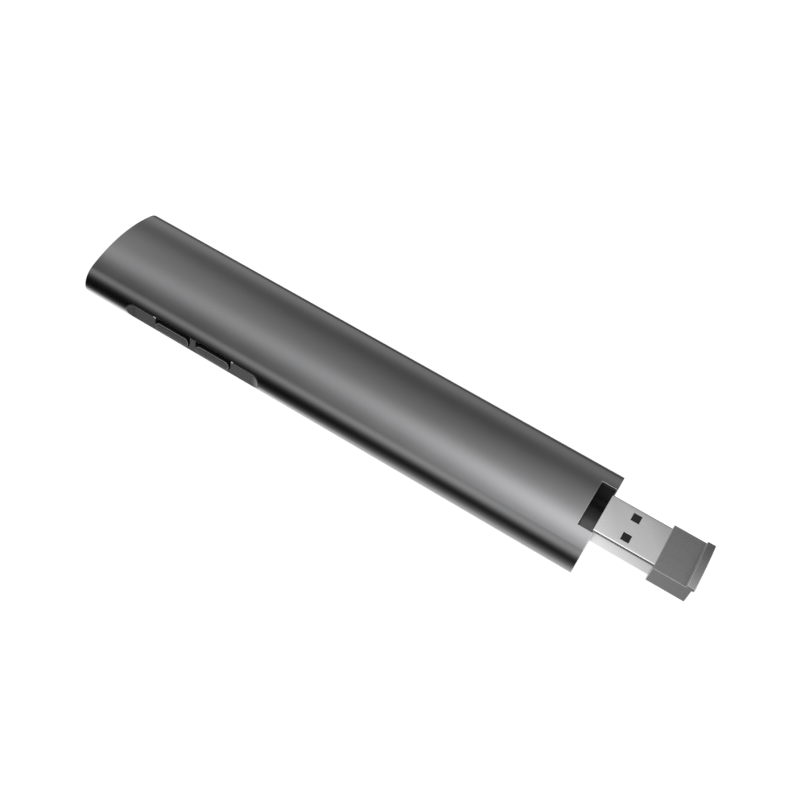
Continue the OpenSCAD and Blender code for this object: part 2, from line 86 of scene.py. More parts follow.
# The scoop, which a round mill leaves with a run-out at each end.
SCOOP_L, SCOOP_DEPTH, RUNOUT_R = 39.35, 0.55, 6.0
FLAT_Y = SIDE - SCOOP_DEPTH
SCOOP_UP, SCOOP_DOWN = half_chord(SHOULDER_R, SCOOP_DEPTH), half_chord(EDGE_R, SCOOP_DEPTH)
RUNOUT_L = half_chord(RUNOUT_R, SCOOP_DEPTH)
MILL_STEPS = 64

# The frame that carries the scoop, in its window. Its skin is divided along the body, and an edge
# within ON_RIM of its outline counts as on it. Two corners are cut off, and face along the first
# direction set below or its mirror image; the cut faces carry a painted glint, a bright metal
# finish that stands in for highlights.
FRAME_RIM, FRAME_T, RELIEF_T, FRAME_BEVEL = 0.12, 1.4, 0.8, 0.045
WINDOW_L, WINDOW_H = SCOOP_L + 2 * FRAME_RIM, SCOOP_UP + SCOOP_DOWN + 2 * FRAME_RIM
SKIN_STEPS, ON_RIM = 24, 0.02
GLINT_WAY, GLINT_CUT_DEPTH, GLINT_CUT_REACH = Vector((0.35, -0.6, 0.72)).normalized(), 0.22, 0.8

# The keys. FACE_RING is how far a face's flat middle sits in from the key's outline.
KEY_Z = EDGE_R + (SCOOP_UP - SCOOP_DOWN) / 2
KEY_L, KEY_H, KEY_GAP, KEY_BEVEL, FACE_RING = 9.8, 2.7, 0.32, 0.15, 0.8
FLANGE_T, FLANGE_LIP = 0.7, 0.15

# The notch in the tail, and the recess that the bay's mouth needs in the sleeve. What faces up in
# the bay is its floor where it is lower than BAY_FLOOR_BELOW, and gets painted light and shade;
# what faces up higher is a ledge and gets painted shade.
NOTCH_L, NOTCH_GAP, RECESS_START, RECESS_H = 4.0, 0.17, 7.5, 4.7
BAY_FLOOR_BELOW = 2

# The receiver: the plug's folded sheet with its seam, its latch holes with a dark liner under them
# that paints the shade in them, and the housing with its finger lip.
SHEET, BEND_R, SHEET_BEVEL = 0.3, 0.55, 0.04
SEAM, SEAM_TURN = 0.2, 140
LATCH_L, LATCH_W, LATCH_FROM_TIP, LATCH_PITCH = 2.1, 2.3, 7.2, 6.2
SHADE_LINER_PAST, SHADE_LINER_GAP, SHADE_LINER_T = 0.3, 0.02, 0.1
HOUSING_STEP, LIP_L, LIP_OVERHANG, LIP_DROP = 0.1, 2.0, 0.5, 0.3


# ---- Outlines ----

def arc(centre, radius, start, end, steps):
    """Points along an arc, without its last one."""
    turns = (math.radians(start + (end - start) * i / steps) for i in range(steps))
    return [(centre[0] + radius * math.cos(t), centre[1] + radius * math.sin(t)) for t in turns]


def section(inset):
    """The sleeve's section, set in from its outside, as (y, z)."""
    return [
        *arc((EDGE_Y, EDGE_R), EDGE_R - inset, -90, 0, EDGE_STEPS),
        *arc((SHOULDER_Y, EDGE_R), SHOULDER_R - inset, 0, 90 - TILT, SHOULDER_STEPS),
        *arc((0, ARCH_Z), ARCH_R - inset, 90 - TILT, 90 + TILT, ARCH_STEPS),
        *arc((-SHOULDER_Y, EDGE_R), SHOULDER_R - inset, 90 + TILT, 180, SHOULDER_STEPS),
        *arc((-EDGE_Y, EDGE_R), EDGE_R - inset, 180, 270, EDGE_STEPS),
        (-EDGE_Y, inset),
    ]


def pill(middle, length, height, steps=32):
    """A bar with round ends, as (x, z)."""
    reach, r = (length - height) / 2, height / 2
    return [
        *arc((middle[0] + reach, middle[1]), r, -90, 90, steps),
        (middle[0] + reach, middle[1] + r),
        *arc((middle[0] - reach, middle[1]), r, 90, 270, steps),
        (middle[0] - reach, middle[1] - r),
    ]


def rectangle(low, high):
    """The corners of a rectangle between two of them."""
    return [(low[0], low[1]), (high[0], low[1]), (high[0], high[1]), (low[0], high[1])]


def along(outline, x):
    """An outline in (y, z), placed along the body."""
    return [(x, y, z) for y, z in outline]


def across(outline, y):
    """An outline in (x, z), placed across the body."""
    return [(x, y, z) for x, z in outline]


# ---- Mesh work ----

def loft(name, rings, closed=False):
    """A skin through rings of points, with end faces or with its last ring joined to its first."""
    work = bmesh.new()
    rows = [[work.verts.new(Vector(point) * MM) for point in ring] for ring in rings]
    pairs = list(zip(rows, rows[1:]))
    if closed:
        pairs.append((rows[-1], rows[0]))
    else:
        work.faces.new(rows[0])
        work.faces.new(rows[-1])
    for low, high in pairs:
        for i in range(len(low)):
            j = (i + 1) % len(low)
            work.faces.new((low[i], low[j], high[j], high[i]))
    bmesh.ops.recalc_face_normals(work, faces=work.faces)
    mesh = bpy.data.meshes.new(name)
    work.to_mesh(mesh)
    work.free()
    piece = bpy.data.objects.new(name, mesh)
    bpy.context.scene.collection.objects.link(piece)
    return piece


def block(low, high):
    """A block between two corners."""
    return loft("block", [along(rectangle(low[1:], high[1:]), x) for x in (low[0], high[0])])


def settle(piece):
    """Makes the piece's modifiers part of its mesh."""
    shown = piece.evaluated_get(bpy.context.evaluated_depsgraph_get())
    mesh = bpy.data.meshes.new_from_object(shown)
    raw, piece.data = piece.data, mesh
    piece.modifiers.clear()
    bpy.data.meshes.remove(raw)
    mesh.name = piece.name


def combine(piece, operation, *tools):
    """Cuts tools from a piece, joins them to it, or keeps what it shares with them."""
    for tool in tools:
        change = piece.modifiers.new("combine", "BOOLEAN")
        change.operation, change.solver, change.object = operation, "EXACT", tool
        settle(piece)
        bpy.data.objects.remove(tool)


def soften(piece, width, segments=3, sharp=30, edge_slot=0, spare=lambda place: False):
    """Rounds a piece's sharp edges but the spared ones, and shades what lies between smoothly."""
    work = bmesh.new()
    work.from_mesh(piece.data)
    weight = work.edges.layers.float.new("bevel_weight_edge")
    for face in work.faces:
        face.smooth = True
    for edge in work.edges:
        if edge.calc_face_angle(0) > math.radians(sharp):
            edge.smooth = not spare((edge.verts[0].co + edge.verts[1].co) / 2 / MM)
            edge[weight] = float(edge.smooth)
    work.to_mesh(piece.data)
    work.free()
    bevel = piece.modifiers.new("soften", "BEVEL")
    bevel.width, bevel.segments, bevel.limit_method = width * MM, segments, "WEIGHT"
    bevel.use_clamp_overlap = False
    bevel.harden_normals = True
    bevel.material = edge_slot
    settle(piece)


def section_skin(y, z):
    """The outward direction at a place on the sleeve's section, and its depth under the skin."""
    side, reach = (1 if y > 0 else -1), abs(y)
    if z >= EDGE_R:
        from_arch = Vector((reach, z - ARCH_Z))
        if math.degrees(math.atan2(from_arch.x, from_arch.y)) <= TILT:
            centre, radius = (0, ARCH_Z), ARCH_R
        else:
            centre, radius = (SHOULDER_Y, EDGE_R), SHOULDER_R
    elif reach > EDGE_Y:
        centre, radius = (EDGE_Y, EDGE_R), EDGE_R
    else:
        return Vector((0, 0, -1)), z
    arm = Vector((reach, z)) - Vector(centre)
    depth = radius - arm.length
    arm.normalize()
    return Vector((0, side * arm.x, arm.y)), depth


def true_section_shading(piece):
    """Gives the parts of a piece that lie on the sleeve's outside the shading of its true arcs."""
    mesh = piece.data
    normals = [corner.vector.copy() for corner in mesh.corner_normals]
    for face in mesh.polygons:
        for loop in face.loop_indices:
            x, y, z = mesh.vertices[mesh.loops[loop].vertex_index].co / MM
            outward, depth = section_skin(y, z)
            if abs(depth) < CHORD_DROP and face.normal.dot(outward) > ALONG_SKIN:
                normals[loop] = outward
    mesh.normals_split_custom_set(normals)


# ---- Node maths ----

def blend(share, start, end):
    """A value that runs from start to end as a share runs from 0 to 1."""
    return start + share * (end - start)


class Flow:
    """A socket of a node tree that takes part in arithmetic."""

    def __init__(self, nodes, socket):
        self.nodes, self.socket = nodes, socket

    def out(self, name):
        """Another output of the same node."""
        return Flow(self.nodes, self.socket.node.outputs[name])

    def math(self, operation, *values):
        """A sum of flows and numbers by one of the maths node's operations."""
        return self.nodes.node("ShaderNodeMath", {"operation": operation}, dict(enumerate(values)))

    def swing(self, weight, middle=0.5):
        """How far a pattern is from its middle, times a weight."""
        return (self - middle) * weight

    def __add__(self, other):
        return self.math("ADD", self, other)

    def __sub__(self, other):
        return self.math("SUBTRACT", self, other)

    def __rsub__(self, other):
        return self.math("SUBTRACT", other, self)

    def __mul__(self, other):
        return self.math("MULTIPLY", self, other)

    def __truediv__(self, other):
        return self.math("DIVIDE", self, other)

    def __pow__(self, other):
        return self.math("POWER", self, other)

    def __neg__(self):
        return self.math("MULTIPLY", self, -1.0)

    __radd__ = __add__
    __rmul__ = __mul__


class Nodes:
    """A node tree that is built by calls."""

    def __init__(self, tree):
        self.tree = tree

    def node(self, kind, settings=None, inputs=None, output=0):
        """A new node's output. Its inputs are values or flows."""
        made = self.tree.nodes.new(kind)
        for name, value in (settings or {}).items():
            setattr(made, name, value)
        for name, value in (inputs or {}).items():
            if isinstance(value, Flow):
                self.tree.links.new(value.socket, made.inputs[name])
            else:
                made.inputs[name].default_value = value
        return Flow(self, made.outputs[output])

    def mix(self, share, low, high):
        """A colour between two colours."""
        paint = [(*c, 1) if isinstance(c, tuple) else c for c in (low, high)]
        inputs = {0: share, 6: paint[0], 7: paint[1]}
        return self.node("ShaderNodeMix", {"data_type": "RGBA"}, inputs, 2)

    def between(self, value, low, high):
        """0 at low and 1 at high, smooth in between."""
        return self.node("ShaderNodeMapRange", {"interpolation_type": "SMOOTHSTEP"},
                         {"Value": value, "From Min": low, "From Max": high})

    def clamp(self, value):
        """A value held between 0 and 1."""
        return self.node("ShaderNodeClamp", None, {"Value": value})


class Finish(Nodes):
    """A material for one of the clicker's finishes."""

    def __init__(self, name, slot, **constants):
        self.material = bpy.data.materials.new(name)
        self.material.use_nodes = True
        super().__init__(self.material.node_tree)
        self.slot = slot
        self.shader = self.tree.nodes["Principled BSDF"]
        for socket, value in constants.items():
            self.shader.inputs[socket.replace("_", " ")].default_value = value
        self.place = self.node("ShaderNodeTexCoord", output="Object")

    def feed(self, **inputs):
        """Links flows to the shader."""
        for name, value in inputs.items():
            self.tree.links.new(value.socket, self.shader.inputs[name.replace("_", " ")])

    def stretched(self, x, y, z):
        """Places divided by a grain size in millimetres along each axis."""
        return self.node("ShaderNodeVectorMath", {"operation": "MULTIPLY"},
                         {0: self.place, 1: (1 / (x * MM), 1 / (y * MM), 1 / (z * MM))})

    def noise(self, x, y, z, detail=2.0):
        """Soft noise with a grain size in millimetres along each axis."""
        return self.node("ShaderNodeTexNoise", None,
                         {"Vector": self.stretched(x, y, z), "Scale": 1.0, "Detail": detail})

    def cells(self, size):
        """The distance to the nearest of scattered points."""
        return self.node("ShaderNodeTexVoronoi", None,
                         {"Vector": self.stretched(size, size, size), "Scale": 1.0})

    def fade(self, near, far, share):
        """Painted shade: 1 at one place of the plan, falling to 1 - share at another."""
        run = Vector((far[0] - near[0], far[1] - near[1], 0))
        slope = run / run.length_squared
        along_it = self.node("ShaderNodeVectorMath", {"operation": "DOT_PRODUCT"},
                             {0: self.place, 1: slope / MM}, "Value")
        return 1 - share * self.clamp(along_it - (slope.x * near[0] + slope.y * near[1]))

    def paint(self, tone, low, high, fade=None):
        """A base colour between two shades of it, which a painted shade can darken over the plan.
        """
        colour = self.mix(tone, low, high)
        if fade:
            colour = self.mix(self.fade(*fade), (0, 0, 0), colour)
        self.feed(Base_Color=colour)

    def bump(self, height, depth, strength=1.0):
        """Relief from a height of 0 to 1, with its depth in millimetres."""
        self.feed(Normal=self.node("ShaderNodeBump", None,
                                   {"Height": height, "Distance": depth * MM,
                                    "Strength": strength}))


def shades(colour, low, high):
    """A darker and a lighter shade of a colour."""
    return tuple(c * low for c in colour), tuple(c * high for c in colour)


def anodised(name, colour, roughness):
    """Bead-blasted and anodised aluminium: an even satin with a fine grain and faint draw lines."""
    finish = Finish(name, "anodised_aluminium", Metallic=1.0)
    grain = finish.noise(0.11, 0.11, 0.11, 3)
    lines = finish.noise(24, 0.22, 0.22, 2)
    cloud = finish.noise(9, 6, 6, 2)
    tone = finish.clamp(0.5 + grain.swing(0.5) + cloud.swing(0.5) + lines.swing(0.25))
    finish.paint(tone, *shades(colour, 0.92, 1.08))
    finish.feed(Roughness=roughness + cloud.swing(0.04) + lines.swing(0.03))
    finish.bump(grain * 0.8 + lines * 0.2, 0.0012)
    return finish


def machined_and_painted_highlight(name, slot, colour, roughness):
    """A freshly cut metal edge, with tool lines along it; also used on plastic edges and corners as
    a painted highlight.
    """
    finish = Finish(name, slot, Metallic=1.0)
    lines = finish.noise(3, 0.05, 0.05, 2)
    finish.paint(lines, *shades(colour, 0.9, 1.1))
    finish.feed(Roughness=roughness + lines.swing(0.1))
    finish.bump(lines, 0.0006)
    return finish


def moulded(name, slot, colour, roughness, grain=0.16, depth=0.006, fade=None, **constants):
    """Moulded plastic with a spark-eroded grain."""
    finish = Finish(name, slot, **constants)
    pits = finish.cells(grain)
    fine = finish.noise(grain * 0.6, grain * 0.6, grain * 0.6, 3)
    flow = finish.noise(5, 3, 3, 2)
    tone = finish.clamp(0.5 + fine.swing(0.5) + flow.swing(0.5))
    finish.paint(tone, *shades(colour, 0.9, 1.1), fade)
    finish.feed(Roughness=roughness + flow.swing(0.06) + pits.swing(0.08, 0.4))
    finish.bump(pits * 0.6 + fine * 0.4, depth)
    return finish


def plated(name, slot, colour, roughness, reach=(6, 0.12, 0.12), fade=None):
    """Plated or rolled sheet, with fine lines along it and soft handling marks."""
    finish = Finish(name, slot, Metallic=1.0)
    lines = finish.noise(*reach, 3)
    marks = finish.noise(1.6, 1.1, 1.1, 2)
    tone = finish.clamp(0.5 + lines.swing(0.3) + marks.swing(0.4))
    finish.paint(tone, *shades(colour, 0.93, 1.05), fade)
    finish.feed(Roughness=roughness + marks.swing(0.02) + lines.swing(0.01))
    finish.bump(lines * 0.7 + marks * 0.3, 0.0003)
    return finish


def circuit_board(name):
    """Solder mask over a weave, with lighter tracks and tinned dots."""
    finish = Finish(name, "board", Specular_IOR_Level=0.5)
    mask, track, tin = (0.012, 0.085, 0.035), (0.02, 0.16, 0.065), (0.62, 0.6, 0.56)
    weave = finish.noise(0.5, 0.5, 0.5, 2)
    runs = finish.node("ShaderNodeTexWave", {"wave_type": "BANDS", "bands_direction": "Y"},
                       {"Vector": finish.stretched(3.2, 0.9, 1), "Scale": 1.0, "Distortion": 5.0,
                        "Detail": 0.0}, "Fac")
    tracks = finish.between(runs, 0.62, 0.68)
    dots = 1 - finish.between(finish.cells(1.7), 0.13, 0.17)
    green = finish.mix(tracks, mask, track)
    finish.feed(Base_Color=finish.mix(dots, green, tin))
    finish.feed(Metallic=dots * 0.9, Roughness=0.34 + weave.swing(0.12))
    finish.bump(tracks * 0.6 + dots * 0.3 + weave * 0.1, 0.03)
    return finish


def frosted(name, colour):
    """Frosted clear acrylic."""
    finish = Finish(name, "clear_acrylic", Transmission_Weight=0.5, IOR=1.49)
    haze = finish.noise(0.4, 0.4, 0.4, 3)
    finish.paint(haze, *shades(colour, 0.92, 1.0))
    finish.feed(Roughness=0.32 + haze.swing(0.2))
    finish.bump(haze, 0.002)
    return finish


def crinkled_foil(name, colour):
    """The laminate round a pouch cell."""
    finish = Finish(name, "cell_foil", Metallic=0.85)
    creases = finish.noise(4.5, 1.6, 1.6, 4)
    fine = finish.noise(0.7, 0.5, 0.5, 3)
    finish.paint(creases, *shades(colour, 0.88, 1.08))
    finish.feed(Roughness=0.3 + creases.swing(0.16))
    finish.bump(creases * 0.7 + fine * 0.3, 0.1, 0.6)
    return finish


def wear(piece, *finishes):
    """Dresses a piece in its finishes: the first is its own, the others are for marked faces."""
    piece.data.materials.clear()
    for finish in finishes:
        piece.data.materials.append(finish.material)


# ---- Finishes ----

# The cut-metal grey is bare metal on the sleeve's edges, and a painted highlight on the housing's
# edges.
BLACK, GREY_METAL, CUT_METAL_AND_HIGHLIGHT = (0.02, 0.02, 0.0205), (0.25, 0.25, 0.255), (0.5, 0.5, 0.51)

sleeve_metal = anodised("anodised sleeve", GREY_METAL, 0.22)
sleeve_edge = machined_and_painted_highlight("polished sleeve edge", "anodised_aluminium", CUT_METAL_AND_HIGHLIGHT, 0.2)

key_plastic = moulded("key plastic", "key_plastic", BLACK, 0.22, grain=0.1, depth=0.0015,
                      Specular_IOR_Level=0.7)
# Painted highlight: a lighter, glossier copy of the key plastic on the bevels of the keys and the
# frame, which stands in for the light lines along their edges.
key_rim_painted_highlight = moulded("key rim painted highlight", "key_plastic", (0.1, 0.1, 0.102), 0.2, grain=0.1,
                  depth=0.001, Specular_IOR_Level=1.0)
# Painted shade: a near-black, dull copy of the key plastic on the keys' sides, which stands in for
# the shade in the recess round them.
key_side_painted_shade = moulded("key side", "key_plastic", (0.004, 0.004, 0.004), 0.6,
                   Specular_IOR_Level=0.15)
# Painted shade: a less glossy copy of the key plastic on the front run-out, which darkens it.
run_out_painted_shade = moulded("scoop run-out painted shade", "key_plastic", BLACK, 0.3, grain=0.1, depth=0.0015,
                  Specular_IOR_Level=0.35)
# Painted glint: a bright metal finish on the two cut corners beside the keys, which stands in for
# highlights.
painted_glint = machined_and_painted_highlight("painted glint on cut corner", "key_plastic", (0.5, 0.5, 0.5), 0.25)

end_plastic = moulded("end plastic", "end_plastic", (0.016, 0.016, 0.017), 0.45)
# Painted light and shade: a lighter, glossier copy of the end plastic on the bay's floor, which
# darkens by up to 90 percent towards the far side, for the light and shade in the notch.
bay_floor_painted_light_and_shade = moulded("bay floor painted light and shade", "end_plastic", (0.1, 0.1, 0.102), 0.15, grain=0.4,
                    depth=0.001, fade=((0, -0.8), (0, 5.6), 0.9), Specular_IOR_Level=0.8)
# Painted shade: a darker, duller copy of the end plastic for the liner under the latch holes and
# for the ledges in the bay, in place of the shade in them.
pocket_painted_shade = moulded("latch pocket", "end_plastic", (0.008, 0.008, 0.008), 0.5,
                 Specular_IOR_Level=0.25)

# Painted shade: the housing's colour darkens by up to 30 percent across its plan, from its near
# corner by the plug to its far corner at the lip.
housing_plastic = moulded("housing plastic with painted shade", "housing_plastic", (0.185, 0.185, 0.188), 0.27,
                          grain=0.12, depth=0.001, fade=(*box("receiver_housing"), 0.3),
                          Metallic=0.7)
# Painted highlight: a bright metal finish on the housing's bevels, which stands in for the light
# lines along its edges.
housing_edge_painted_highlight = machined_and_painted_highlight("housing edge painted highlight", "housing_plastic", CUT_METAL_AND_HIGHLIGHT, 0.25)

nickel = plated("nickel", "plug_steel", (0.8, 0.8, 0.8), 0.3)
# Painted shade: the plug's nickel darkens by up to 42 percent across its plan, from the near side
# of its tip towards the far side at the housing.
plug_nickel_painted_shade = plated("nickel plug with painted shade", "plug_steel", (0.81, 0.81, 0.81), 0.27,
                     fade=(*box("plug_shell"), 0.42))
spring_steel = plated("rolled spring steel", "spring_steel", (0.6, 0.6, 0.6), 0.28,
                      reach=(2, 0.08, 0.08))
contact_gold = plated("gold contacts", "contact_gold", (0.83, 0.6, 0.24), 0.22,
                      reach=(1.5, 0.06, 0.06))

board_green = circuit_board("circuit board")
chip_epoxy = moulded("chip epoxy", "chip", (0.022, 0.022, 0.024), 0.5, grain=0.09, depth=0.004)
ceramic = moulded("fired ceramic", "ceramic", (0.36, 0.27, 0.17), 0.5, grain=0.12, depth=0.004)
acrylic = frosted("frosted acrylic", (0.85, 0.87, 0.87))
cell_foil = crinkled_foil("cell foil", (0.56, 0.57, 0.59))
tape_foam = moulded("foam tape", "tape", (0.7, 0.7, 0.66), 0.8, grain=0.3, depth=0.05)
lead_red = moulded("lead insulation", "lead_insulation", (0.42, 0.025, 0.025), 0.45, grain=0.3,
                   depth=0.004)


# ---- Sleeve and keys ----

def make_sleeve():
    """The sleeve, with the key frame's window, the notch in its tail and the bay's recess."""
    outer, inner = section(0), section(WALL)
    sleeve = loft("sleeve", [along(outer, FRONT), along(outer, TAIL), along(inner, TAIL),
                             along(inner, FRONT)], closed=True)
    low, high = box("key_frame")
    middle = (low.x + high.x) / 2
    window = pill((middle, KEY_Z), WINDOW_L + 2 * FIT, WINDOW_H + 2 * FIT)
    half = box("receiver_housing")[1].y + NOTCH_GAP
    recess = box("receiver_bay")[0].x + RECESS_START
    base = box("plug_shell")[0].z
    combine(sleeve, "DIFFERENCE",
            loft("window", [across(window, y) for y in (-SIDE - PAST, FRAME_T - FLAT_Y)]),
            block((TAIL - NOTCH_L, -half, base), (TAIL + PAST, half, CREST + PAST)),
            block((recess, -half, base), (TAIL + PAST, half, base + RECESS_H)))
    wear(sleeve, sleeve_metal, sleeve_edge)

    def inside(place):
        deep = section_skin(place.y, place.z)[1] > SKIN_DEPTH
        return deep and FRONT + FIT < place.x < TAIL - FIT

    soften(sleeve, EDGE_BEVEL, edge_slot=1, spare=inside)
    for face in sleeve.data.polygons:
        if abs(face.center.x / MM - middle) < WINDOW_L / 2 + PAST:
            face.material_index = 0
    true_section_shading(sleeve)
    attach(sleeve, "body")
    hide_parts("body_shell")


def mill_path(middle):
    """What the mill takes away: a long trough with round run-outs."""
    reach = SCOOP_L / 2 - RUNOUT_L
    y = -FLAT_Y - RUNOUT_R
    outline = [
        *arc((middle + reach, y), RUNOUT_R, -90, 90, MILL_STEPS), (middle + reach, y + RUNOUT_R),
        *arc((middle - reach, y), RUNOUT_R, 90, 270, MILL_STEPS), (middle - reach, y - RUNOUT_R),
    ]
    return loft("mill", [[(x, y, z) for x, y in outline] for z in (-PAST, CREST + PAST)])


def shaving(corner, facing):
    """What is cut off a corner, to carry the painted glint."""
    across_it = facing.orthogonal().normalized() * GLINT_CUT_REACH
    down_it = facing.cross(across_it)
    square = (across_it + down_it, across_it - down_it, -across_it - down_it, down_it - across_it)
    base = Vector(corner) - facing * GLINT_CUT_DEPTH
    return loft("shaving", [[base + facing * lift + spot for spot in square]
                            for lift in (0, PAST)])


def make_scoop_frame():
    """The key frame: what its window holds of the body, with the scoop and the keys' openings."""
    low, high = box("key_frame")
    middle = (low.x + high.x) / 2
    back = FRAME_T - FLAT_Y
    half = KEY_L / 2 + KEY_GAP
    window = pill((middle, KEY_Z), WINDOW_L, WINDOW_H)
    frame_piece = loft("scoop_frame", [across(window, y) for y in (-SIDE - PAST, back)])
    stations = [low.x + (high.x - low.x) * i / SKIN_STEPS for i in range(SKIN_STEPS + 1)]
    combine(frame_piece, "INTERSECT", loft("body", [along(section(0), x) for x in stations]))
    tools = [mill_path(middle)]
    for key, end in (("forward_key", 1), ("back_key", -1)):
        key_low, key_high = box(key)
        key_x = (key_low.x + key_high.x) / 2
        opening = pill((key_x, KEY_Z), 2 * half, KEY_H + 2 * KEY_GAP)
        tools.append(loft("opening", [across(opening, y) for y in (-SIDE - PAST, back + PAST)]))
        tools.append(block((key_x - half, -SIDE - PAST, KEY_Z),
                           (key_x + half, RELIEF_T - FLAT_Y, CREST)))
        facing = Vector((-end * GLINT_WAY.x, GLINT_WAY.y, GLINT_WAY.z)).normalized()
        tools.append(shaving((key_x + end * half, -FLAT_Y, EDGE_R + SCOOP_UP), facing))
    combine(frame_piece, "DIFFERENCE", *tools)
    wear(frame_piece, key_plastic, key_rim_painted_highlight, run_out_painted_shade, painted_glint)

    def hidden(place):
        past = max(abs(place.x - middle) - (WINDOW_L - WINDOW_H) / 2, 0)
        on_rim = math.hypot(past, place.z - KEY_Z) > WINDOW_H / 2 - ON_RIM
        return on_rim or place.y > FLANGE_T - FLAT_Y

    # The frame's bevels get the lighter rim finish, a painted highlight.
    soften(frame_piece, FRAME_BEVEL, sharp=20, edge_slot=1, spare=hidden)
    # Faces along the cut corners get the painted glint.
    for face in frame_piece.data.polygons:
        x, y, z = face.normal
        if Vector((abs(x), y, z)).dot(GLINT_WAY) > ALONG_GLINT:
            face.material_index = 3
        # The front run-out gets the less glossy copy, as painted shade.
        elif x > 0.04 and y < -0.5 and abs(z) < 0.01:
            face.material_index = 2  # the front run-out, which turns towards the tail
    true_section_shading(frame_piece)
    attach(frame_piece, "body")
    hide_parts("key_frame")


def make_key(node, name):
    """A page key: a flange behind the frame, sides in a dull near-black as painted shade, a round
    bevel in the lighter rim finish as painted highlight, and a flat face.
    """
    low, high = box(node)
    middle = ((low.x + high.x) / 2, KEY_Z)
    flange, shoulder = KEY_GAP + FLANGE_LIP, high.y - FLANGE_T
    steps = [(flange, high.y), (flange, shoulder), (0, shoulder)]
    for turn in range(0, 91, 15):
        swing = math.radians(turn)
        steps.append((KEY_BEVEL * (math.cos(swing) - 1), low.y + KEY_BEVEL * (1 - math.sin(swing))))
    steps.append((-FACE_RING, low.y))
    key = loft(name, [across(pill(middle, KEY_L + 2 * grow, KEY_H + 2 * grow), y)
                      for grow, y in steps])
    wear(key, key_plastic, key_side_painted_shade, key_rim_painted_highlight)
    # The sides get the painted shade, the bevel rings the painted highlight, and the flat faces the
    # plain key plastic.
    for face in key.data.polygons:
        face.use_smooth = True
        facing = abs(face.normal.y)
        side, flat = facing < 0.1, facing > 0.99
        face.material_index = 1 if side else 0 if flat else 2
    key.data.set_sharp_from_angle(angle=math.radians(50))
    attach(key, node)
    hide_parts(node)


# ---- Receiver ----

def sheet_section(low, high):
    """The folded sheet of the plug, with its seam at the upper near bend, as (y, z)."""
    (a, b), (c, d) = (low.y, low.z), (high.y, high.z)
    open_turn = math.degrees(SEAM / BEND_R) / 2
    seam_end = math.radians(SEAM_TURN - open_turn)
    skins = []
    for inset in (0, SHEET):
        r = BEND_R - inset
        skins.append([
            *arc((a + BEND_R, d - BEND_R), r, SEAM_TURN + open_turn, 180, 6),
            (a + inset, d - BEND_R),
            *arc((a + BEND_R, b + BEND_R), r, 180, 270, 10), (a + BEND_R, b + inset),
            *arc((c - BEND_R, b + BEND_R), r, 270, 360, 10), (c - inset, b + BEND_R),
            *arc((c - BEND_R, d - BEND_R), r, 0, 90, 10), (c - BEND_R, d - inset),
            *arc((a + BEND_R, d - BEND_R), r, 90, SEAM_TURN - open_turn, 6),
            (a + BEND_R + r * math.cos(seam_end), d - BEND_R + r * math.sin(seam_end)),
        ])
    return skins[0] + skins[1][::-1]


def make_plug_sheet():
    """The plug's shell with its latch holes, and a dark liner that closes them from inside, as
    painted shade in the holes.
    """
    low, high = box("plug_shell")
    outline = sheet_section(low, high)
    sheet = loft("plug_sheet", [along(outline, x) for x in (low.x, high.x)])
    middle = low.x + LATCH_FROM_TIP
    holes = [
        block((middle - LATCH_L / 2, side * LATCH_PITCH / 2 - LATCH_W / 2, low.z - PAST),
              (middle + LATCH_L / 2, side * LATCH_PITCH / 2 + LATCH_W / 2, high.z + PAST))
        for side in (-1, 1)
    ]
    combine(sheet, "DIFFERENCE", *holes)
    wear(sheet, plug_nickel_painted_shade)
    soften(sheet, SHEET_BEVEL, segments=2, sharp=40)
    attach(sheet, "receiver")
    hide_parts("plug_shell")

    reach_x = LATCH_L / 2 + SHADE_LINER_PAST
    reach_y = (LATCH_PITCH + LATCH_W) / 2 + SHADE_LINER_PAST
    top = high.z - SHEET - SHADE_LINER_GAP
    shade_liner = block((middle - reach_x, -reach_y, top - SHADE_LINER_T), (middle + reach_x, reach_y, top))
    shade_liner.name = "latch_liner"
    wear(shade_liner, pocket_painted_shade)
    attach(shade_liner, "receiver")


def make_housing():
    """The receiver's housing, with a finger lip that carries on the sleeve's arch."""
    low, high = box("receiver_housing")
    top = box("plug_shell")[1].z + HOUSING_STEP
    housing = block(low, (high.x - LIP_OVERHANG, high.y, top))
    housing.name = "housing"
    lip = loft("lip", [along(section(0), x) for x in (high.x - LIP_L, high.x)])
    combine(lip, "INTERSECT",
            block((low.x, low.y, top - LIP_DROP), (high.x + PAST, high.y, CREST + PAST)))
    combine(housing, "UNION", lip)
    wear(housing, housing_plastic, housing_edge_painted_highlight)
    # The bevels get the painted highlight.
    soften(housing, EDGE_BEVEL, edge_slot=1)
    true_section_shading(housing)
    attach(housing, "receiver")
    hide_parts("receiver_housing")


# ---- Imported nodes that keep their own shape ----

KEPT = {
    end_plastic: "front_cap charge_tongue tray receiver_bay plug_tongue",
    nickel: "charge_port crystal receiver_crystal",
    board_green: "main_board receiver_board",
    chip_epoxy: "radio_chip charger_chip forward_switch back_switch receiver_chip",
    ceramic: "chip_antenna passives",
    acrylic: "light_pipe status_led forward_plunger back_plunger",
    cell_foil: "cell",
    tape_foam: "cell_tape",
    lead_red: "cell_leads",
    spring_steel: "bay_spring bay_screws",
    contact_gold: "plug_contacts",
}


def dress_kept_nodes():
    """Gives the kept nodes their finishes."""
    for finish, names in KEPT.items():
        for name in names.split():
            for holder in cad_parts[name].material_slots:
                holder.material = finish.material


